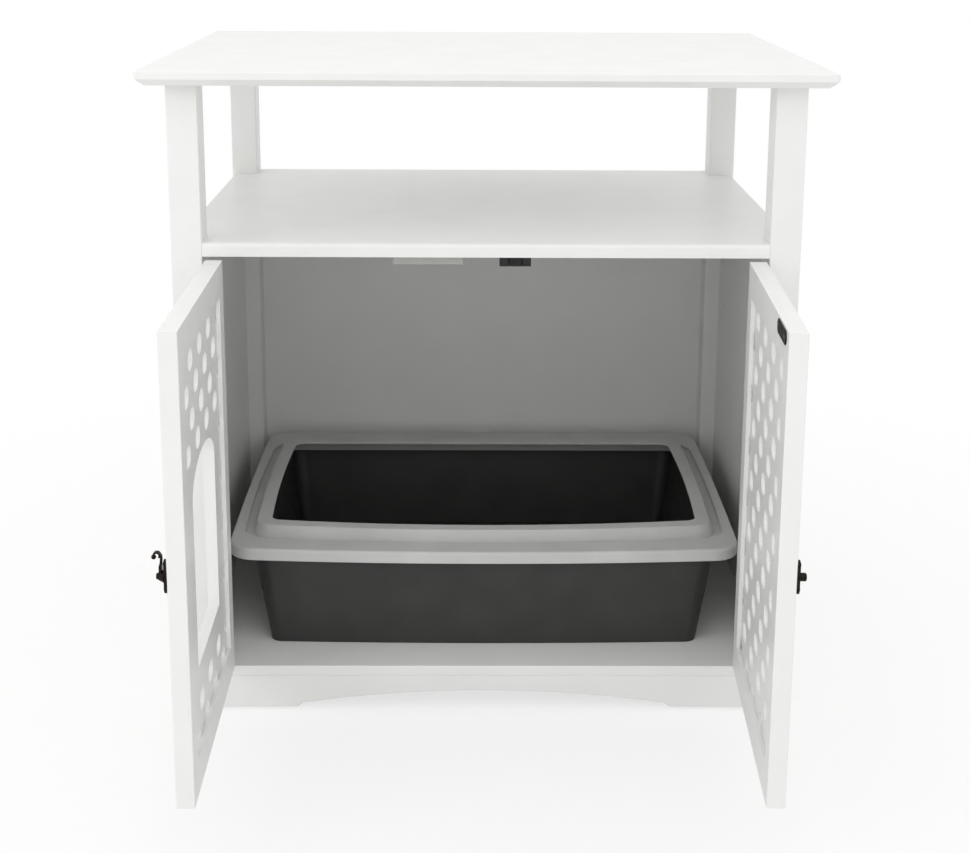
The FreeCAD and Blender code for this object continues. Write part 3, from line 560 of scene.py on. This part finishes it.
# ---- screws --------------------------------------------------------------------------------
@dataclass
class Screw:
    """A cross-recessed screw, sized and placed after one solid of a CAD node.

    The screw is drawn at the origin with the underside of a pan head, or the face of a flat
    one, at Z = 0. Its head is towards +Z and its shank runs along -Z. Lengths are in metres.
    """

    style: HeadStyle
    head_radius: float
    head_height: float
    shank_radius: float
    shank_length: float
    place: Matrix
    sides: int = 24
    dome_share: float = 0.45
    dome_shrink: float = 0.72
    recess_share: float = 0.62
    recess_width_share: float = 0.2
    recess_depth_share: float = 0.32
    smooth_angle: float = math.radians(35)

    @classmethod
    def measured(cls, solid: bpy.types.Object) -> "Screw":
        """Read a screw's sizes and place from its plain solid.

        Args:
            solid: one screw of a CAD node, with merged vertices.

        Returns:
            The screw to draw.
        """
        points = [vertex.co.copy() for vertex in solid.data.vertices]
        middle = sum(points, Vector()) / len(points)
        axis = long_axis([point - middle for point in points])
        reach = [((point - middle).dot(axis), point) for point in points]
        radii = [(along, (point - middle - axis * along).length) for along, point in reach]
        head_radius = max(radius for _, radius in radii)
        rim = [along for along, radius in radii if radius > head_radius * RIM_SHARE]
        if sum(rim) < 0:
            axis = -axis
            radii = [(-along, radius) for along, radius in radii]
            rim = [-along for along in rim]
        tip = min(along for along, _ in radii)
        shank_radius = max(radius for along, radius in radii if along < tip + SLIGHT)
        thickness = max(rim) - min(rim)
        style = HeadStyle.PAN if thickness > SLIGHT else HeadStyle.FLAT
        if style is HeadStyle.FLAT:
            below = [along for along, radius in radii if radius < head_radius * RIM_SHARE]
            thickness = max(rim) - max(below)
        seat = min(rim)
        aim = axis.to_track_quat("Z", "X").to_matrix().to_4x4()
        return cls(style, head_radius, thickness, shank_radius, seat - tip,
                   Matrix.Translation(middle + axis * seat) @ aim)

    def build(self) -> bpy.types.Object:
        """Model the screw at the origin.

        Returns:
            The screw's object.
        """
        bpy.ops.object.select_all(action="DESELECT")
        cone = self.head_height if self.style is HeadStyle.FLAT else 0.0
        length = self.shank_length - cone
        bpy.ops.mesh.primitive_cylinder_add(vertices=self.sides, radius=self.shank_radius,
                                            depth=length,
                                            location=(0, 0, -cone - length / 2))
        screw = bpy.context.object
        settle(screw)
        self.draw_head(screw)
        self.cut_recess(screw)
        activate(screw)
        bpy.ops.object.shade_smooth_by_angle(angle=self.smooth_angle)
        return screw

    def draw_head(self, screw: bpy.types.Object) -> None:
        """Extrude the shank's upper face into the head.

        Args:
            screw: the shank, at the origin.
        """
        select_faces(screw, lambda centre, normal: normal.z > UPWARD)
        bpy.ops.object.mode_set(mode="EDIT")
        growth = self.head_radius / self.shank_radius
        if self.style is HeadStyle.FLAT:
            self.raise_faces(self.head_height, growth)
        else:
            self.raise_faces(0.0, growth)
            self.raise_faces(self.head_height * (1 - self.dome_share), 1.0)
            self.raise_faces(self.head_height * self.dome_share, self.dome_shrink)
        bpy.ops.object.mode_set(mode="OBJECT")

    def raise_faces(self, height: float, growth: float) -> None:
        """Extrude the selected face upwards and scale it about the axis.

        Args:
            height: how far it moves, in metres.
            growth: the factor that its radius grows by.
        """
        bpy.ops.mesh.extrude_region_move(TRANSFORM_OT_translate={"value": (0, 0, height)})
        bpy.ops.transform.resize(value=(growth, growth, 1))

    def cut_recess(self, screw: bpy.types.Object) -> None:
        """Cut the cross recess into the head.

        Args:
            screw: the shank with its head, at the origin.
        """
        top = 0.0 if self.style is HeadStyle.FLAT else self.head_height
        length = 2 * self.head_radius * self.recess_share
        width = 2 * self.head_radius * self.recess_width_share
        depth = self.head_radius * self.recess_depth_share
        for size in ((length, width, 2 * depth), (width, length, 2 * depth)):
            bpy.ops.object.select_all(action="DESELECT")
            bpy.ops.mesh.primitive_cube_add(size=1, location=(0, 0, top))
            cutter = bpy.context.object
            cutter.scale = size
            cut = screw.modifiers.new("cross_recess", "BOOLEAN")
            cut.operation = "DIFFERENCE"
            cut.object = cutter
            cut.solver = "EXACT"
            bpy.context.view_layer.update()
            apply_all(screw)
            bpy.data.objects.remove(cutter)


def long_axis(offsets: list[Vector]) -> Vector:
    """Find the direction in which points round their middle spread furthest.

    Args:
        offsets: the points, measured from their middle.

    Returns:
        The unit vector of that direction.
    """
    axis = max(offsets, key=lambda offset: offset.length).normalized()
    for _ in range(AXIS_ROUNDS):
        axis = sum((offset * offset.dot(axis) for offset in offsets), Vector()).normalized()
    return axis


def select_faces(piece: bpy.types.Object,
                 wanted: Callable[[Vector, Vector], bool]) -> None:
    """Select the faces that a test picks, by centre and normal, and nothing else.

    Args:
        piece: the mesh object.
        wanted: takes a face's centre and normal and says whether it is selected.
    """
    activate(piece)
    bpy.ops.object.mode_set(mode="EDIT")
    bpy.ops.mesh.select_mode(type="FACE")
    bpy.ops.mesh.select_all(action="DESELECT")
    bpy.ops.object.mode_set(mode="OBJECT")
    for face in piece.data.polygons:
        face.select = wanted(face.center, face.normal)


def loose_solids(node: str) -> list[bpy.types.Object]:
    """Copy a CAD node and split the copy into its separate solids.

    Args:
        node: the CAD node.

    Returns:
        One object for each solid.
    """
    whole = mesh_copy(node, node + "_solids")
    activate(whole)
    bpy.ops.object.mode_set(mode="EDIT")
    bpy.ops.mesh.select_all(action="SELECT")
    bpy.ops.mesh.remove_doubles(threshold=MERGE_DISTANCE)
    bpy.ops.mesh.separate(type="LOOSE")
    bpy.ops.object.mode_set(mode="OBJECT")
    return list(bpy.context.selected_objects)


@dataclass
class ScrewRow:
    """Equal screws that stand in for one CAD node, each turned on by turn_step radians."""

    node: str
    body: str
    turn_step: float = 0.7

    def build(self, material: bpy.types.Material) -> None:
        """Model one screw, copy it to the place of every solid and join the copies.

        Args:
            material: the screws' finish.
        """
        solids = loose_solids(self.node)
        screws = [Screw.measured(solid) for solid in solids]
        for solid in solids:
            bpy.data.objects.remove(solid)
        model = screws[0].build()
        copies = []
        for number, screw in enumerate(screws):
            copy = model.copy()
            copy.data = model.data.copy()
            bpy.context.scene.collection.objects.link(copy)
            copy.data.transform(screw.place @ Matrix.Rotation(number * self.turn_step, 4, "Z"))
            copies.append(copy)
        bpy.data.objects.remove(model)
        activate(copies[0])
        for copy in copies[1:]:
            copy.select_set(True)
        bpy.ops.object.join()
        row = bpy.context.view_layer.objects.active
        row.name = self.node + "_finished"
        paint(row, material)
        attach(row, self.body)
        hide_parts(self.node)
        log.info("built %s, %d screws", self.node, len(screws))


# ---- sub-assemblies ------------------------------------------------------------------------
@dataclass
class Carcase:
    """Posts, boards and rails of the cabinet, and what holds them together."""

    body: str = "cabinet"
    board_edge: SoftEdge = SoftEdge(0.8)
    glide_edge: SoftEdge = SoftEdge(0.8, 3)
    plain_nodes: tuple[str, ...] = (
        "top_panel", "front_left_post", "front_right_post", "rear_left_post",
        "rear_right_post", "left_side_panel", "right_side_panel", "back_panel")
    eased_nodes: tuple[str, ...] = (
        "middle_shelf", "floor_panel", "front_apron", "rear_rail", "floor_cleats")
    dowel_nodes: tuple[str, ...] = ("top_dowels", "shelf_dowels", "side_dowels")

    def build(self, finishes: Finishes) -> None:
        """Dress every board and build the screws.

        Args:
            finishes: the cabinet's materials.
        """
        for node in self.plain_nodes:
            dress(node, finishes.lacquer)
        for node in self.eased_nodes:
            eased_copy(node, self.body, finishes.lacquer, self.board_edge)
        for node in self.dowel_nodes:
            dress(node, finishes.beech)
        eased_copy("foot_glides", self.body, finishes.white_plastic, self.glide_edge)
        for node in ("cleat_screws", "back_screws"):
            ScrewRow(node, self.body).build(finishes.steel)


@dataclass
class CatchAndStop:
    """Magnetic catch and stop block under the shelf."""

    body: str = "cabinet"
    catch_edge: SoftEdge = SoftEdge(0.5, 3)
    block_edge: SoftEdge = SoftEdge(0.8, 3)

    def build(self, finishes: Finishes) -> None:
        """Dress the catch, its magnet and poles, and the stop block.

        Args:
            finishes: the cabinet's materials.
        """
        eased_copy("catch_body", self.body, finishes.black_plastic, self.catch_edge)
        eased_copy("stop_block", self.body, finishes.block_plastic, self.block_edge)
        dress("catch_magnet", finishes.ferrite)
        dress("catch_poles", finishes.pole_steel)
        for node in ("catch_screws", "stop_screws"):
            ScrewRow(node, self.body).build(finishes.steel)


@dataclass
class Door:
    """One framed door with its perforated panel and butt hinges."""

    side: Side
    frame_edge: SoftEdge = SoftEdge(0.5)
    hinge_edge: SoftEdge = SoftEdge(0.25)

    @property
    def body(self) -> str:
        """The CAD body that this door is.

        Returns:
            The body's name.
        """
        return "left_door" if self.side is Side.LEFT else "right_door"

    def build(self, finishes: Finishes) -> None:
        """Ease and dress the door's woodwork and hinges.

        Args:
            finishes: the cabinet's materials.
        """
        for part in ("_hinge_stile", "_free_stile", "_top_rail", "_bottom_rail"):
            eased_copy(self.body + part, self.body, finishes.lacquer, self.frame_edge)
        dress(self.body + "_panel", finishes.lacquer)
        eased_copy(self.body + "_hinge_door_leaves", self.body, finishes.steel,
                   self.hinge_edge)
        for part in ("_hinge_frame_leaves", "_hinge_pins"):
            eased_copy(self.body + part, "cabinet", finishes.steel, self.hinge_edge)
        ScrewRow(self.body + "_hinge_door_screws", self.body).build(finishes.steel)
        ScrewRow(self.body + "_hinge_frame_screws", "cabinet").build(finishes.steel)


@dataclass
class HookLatch:
    """Swing hook on the left door, keeper peg and strike plate on the right one."""

    cast_edge: SoftEdge = SoftEdge(0.45, 3)

    def build(self, finishes: Finishes) -> None:
        """Ease the castings and dress the screws.

        Args:
            finishes: the cabinet's materials.
        """
        for node in ("latch_plate", "latch_pivot"):
            eased_copy(node, "left_door", finishes.bronze, self.cast_edge)
        eased_copy("latch_hook", "hook", finishes.bronze, self.cast_edge)
        for node in ("keeper_plate", "keeper_peg", "strike_plate"):
            eased_copy(node, "right_door", finishes.bronze, self.cast_edge)
        ScrewRow("latch_screws", "left_door").build(finishes.bronze)
        ScrewRow("keeper_screws", "right_door").build(finishes.bronze)
        ScrewRow("strike_screws", "right_door").build(finishes.steel)


@dataclass
class LitterPan:
    """Charcoal tub with its snap-on grey rim."""

    rim_edge: SoftEdge = SoftEdge(0.8, 3)
    tub_edge: SoftEdge = SoftEdge(1.5, 3)

    def build(self, finishes: Finishes) -> None:
        """Ease and dress the tub and the rim.

        Args:
            finishes: the cabinet's materials.
        """
        eased_copy("litter_rim", "rim", finishes.rim_grey, self.rim_edge)
        eased_copy("litter_tub", "pan", finishes.tub_charcoal, self.tub_edge)


# ---- studio --------------------------------------------------------------------------------
@dataclass(frozen=True)
class SoftBox:
    """A square lamp, with lengths in metres and its power in watts."""

    name: str
    place: tuple[float, float, float]
    target: tuple[float, float, float]
    size: float
    power: float

    def hang(self) -> None:
        """Hang the lamp so that it faces its target."""
        data = bpy.data.lights.new(self.name, "AREA")
        data.energy = self.power
        data.size = self.size
        lamp = bpy.data.objects.new(self.name, data)
        bpy.context.scene.collection.objects.link(lamp)
        lamp.location = self.place
        facing = Vector(self.target) - Vector(self.place)
        lamp.rotation_euler = facing.to_track_quat("-Z", "Y").to_euler()


@dataclass
class Studio:
    """Floor, light and camera."""

    floor_half: float = 9.0
    floor_colour: str = "F4F4F3"
    floor_roughness: float = 0.8
    floor_grain_mm: float = 30.0
    floor_grain_height_mm: float = 0.01
    near_radius: float = 0.5
    near_white: float = 0.7
    far_radius: float = 1.3
    world_level: float = 0.92
    eye: tuple[float, float, float] = (-0.0173, -1.8069, 0.8886)
    yaw: float = math.radians(0.54)
    pitch: float = math.radians(12.94)
    roll: float = math.radians(0.31)
    focal_px: float = 1625.7
    centre_row: float = 281.0
    sensor_mm: float = 36.0
    clip_start: float = 0.05
    clip_end: float = 60.0
    lamps: tuple[SoftBox, ...] = (
        SoftBox("top_softbox", (0.0, -0.4, 2.6), (0.0, 0.1, 0.6), 1.8, 4.0),
        SoftBox("front_softbox", (0.0, -1.6, 1.9), (0.0, 0.0, 0.5), 1.2, 4.0),
        SoftBox("left_softbox", (-2.6, -1.6, 1.6), (0.0, 0.0, 0.4), 1.4, 11.0))

    def build(self) -> None:
        """Lay the floor, hang the lamps and set up the camera."""
        self.lay_floor()
        self.light_world()
        for lamp in self.lamps:
            lamp.hang()
        self.set_camera()
        bpy.context.scene.view_settings.view_transform = "Standard"

    def lay_floor(self) -> None:
        """Lay a plain pale floor."""
        bpy.ops.object.select_all(action="DESELECT")
        bpy.ops.mesh.primitive_plane_add(size=2 * self.floor_half, location=(0, 0, 0))
        floor = bpy.context.object
        floor.name = "studio_floor"
        recipe = Recipe("pale_studio_floor")
        recipe.shader.inputs["Base Color"].default_value = linear(self.floor_colour)
        recipe.fixed(Roughness=self.floor_roughness)
        recipe.relief([(recipe.noise(self.floor_grain_mm), self.floor_grain_height_mm)])
        self.whiten(recipe.tree, recipe.shader.outputs["BSDF"])
        paint(floor, recipe.material)

    def whiten(self, tree: bpy.types.NodeTree, plain: bpy.types.NodeSocket) -> None:
        """Let the camera see the floor nearer to white, keeping part of its shadow.

        Args:
            tree: the floor material's nodes.
            plain: the floor's own shader.
        """
        path = tree.nodes.new("ShaderNodeLightPath")
        glow = tree.nodes.new("ShaderNodeEmission")
        glow.inputs["Strength"].default_value = 1.0
        glow.inputs["Color"].default_value = WHITE
        distance = tree.nodes.new("ShaderNodeVectorMath")
        distance.operation = "LENGTH"
        tree.links.new(tree.nodes.new("ShaderNodeTexCoord").outputs["Object"],
                       distance.inputs[0])
        fade = tree.nodes.new("ShaderNodeMapRange")
        fade.inputs["From Min"].default_value = self.near_radius
        fade.inputs["From Max"].default_value = self.far_radius
        fade.inputs["To Min"].default_value = self.near_white
        tree.links.new(distance.outputs["Value"], fade.inputs["Value"])
        share = tree.nodes.new("ShaderNodeMath")
        share.operation = "MULTIPLY"
        tree.links.new(path.outputs["Is Camera Ray"], share.inputs[0])
        tree.links.new(fade.outputs["Result"], share.inputs[1])
        mix = tree.nodes.new("ShaderNodeMixShader")
        tree.links.new(share.outputs[0], mix.inputs["Fac"])
        tree.links.new(plain, mix.inputs[1])
        tree.links.new(glow.outputs["Emission"], mix.inputs[2])
        tree.links.new(mix.outputs["Shader"],
                       tree.nodes["Material Output"].inputs["Surface"])

    def light_world(self) -> None:
        """Fill the world with an even soft light and show it white to the camera."""
        world = bpy.data.worlds.new("soft_white_room")
        world.use_nodes = True
        bpy.context.scene.world = world
        tree = world.node_tree
        lit = tree.nodes["Background"]
        lit.inputs["Color"].default_value = WHITE
        lit.inputs["Strength"].default_value = self.world_level
        seen = tree.nodes.new("ShaderNodeBackground")
        seen.inputs["Color"].default_value = WHITE
        seen.inputs["Strength"].default_value = 1.0
        path = tree.nodes.new("ShaderNodeLightPath")
        either = tree.nodes.new("ShaderNodeMath")
        either.operation = "MAXIMUM"
        tree.links.new(path.outputs["Is Camera Ray"], either.inputs[0])
        tree.links.new(path.outputs["Is Glossy Ray"], either.inputs[1])
        mix = tree.nodes.new("ShaderNodeMixShader")
        tree.links.new(either.outputs[0], mix.inputs["Fac"])
        tree.links.new(lit.outputs["Background"], mix.inputs[1])
        tree.links.new(seen.outputs["Background"], mix.inputs[2])
        tree.links.new(mix.outputs["Shader"], tree.nodes["World Output"].inputs["Surface"])

    def set_camera(self) -> None:
        """Place the camera where the photograph was taken from."""
        data = bpy.data.cameras.new("photo_camera")
        data.sensor_width = self.sensor_mm
        data.lens = self.focal_px / PHOTO_WIDTH * self.sensor_mm
        data.shift_y = (self.centre_row - PHOTO_HEIGHT / 2) / PHOTO_WIDTH
        data.clip_start = self.clip_start
        data.clip_end = self.clip_end
        camera = bpy.data.objects.new("photo_camera", data)
        bpy.context.scene.collection.objects.link(camera)
        turn, tip = self.yaw, self.pitch
        forward = Vector((math.sin(turn) * math.cos(tip), math.cos(turn) * math.cos(tip),
                          -math.sin(tip)))
        right = Vector((math.cos(turn), -math.sin(turn), 0.0))
        up = right.cross(forward)
        leaning_right = right * math.cos(self.roll) + up * math.sin(self.roll)
        leaning_up = up * math.cos(self.roll) - right * math.sin(self.roll)
        axes = Matrix((leaning_right, leaning_up, -forward)).transposed().to_4x4()
        camera.matrix_world = Matrix.Translation(self.eye) @ axes
        bpy.context.scene.camera = camera


def main() -> None:
    """Build every sub-assembly in order."""
    logging.basicConfig(level=logging.INFO, format="%(name)s: %(message)s")
    finishes = Finishes()
    Carcase().build(finishes)
    CatchAndStop().build(finishes)
    Door(Side.LEFT).build(finishes)
    Door(Side.RIGHT).build(finishes)
    HookLatch().build(finishes)
    LitterPan().build(finishes)
    Studio().build()


if __name__ == "__main__":
    main()
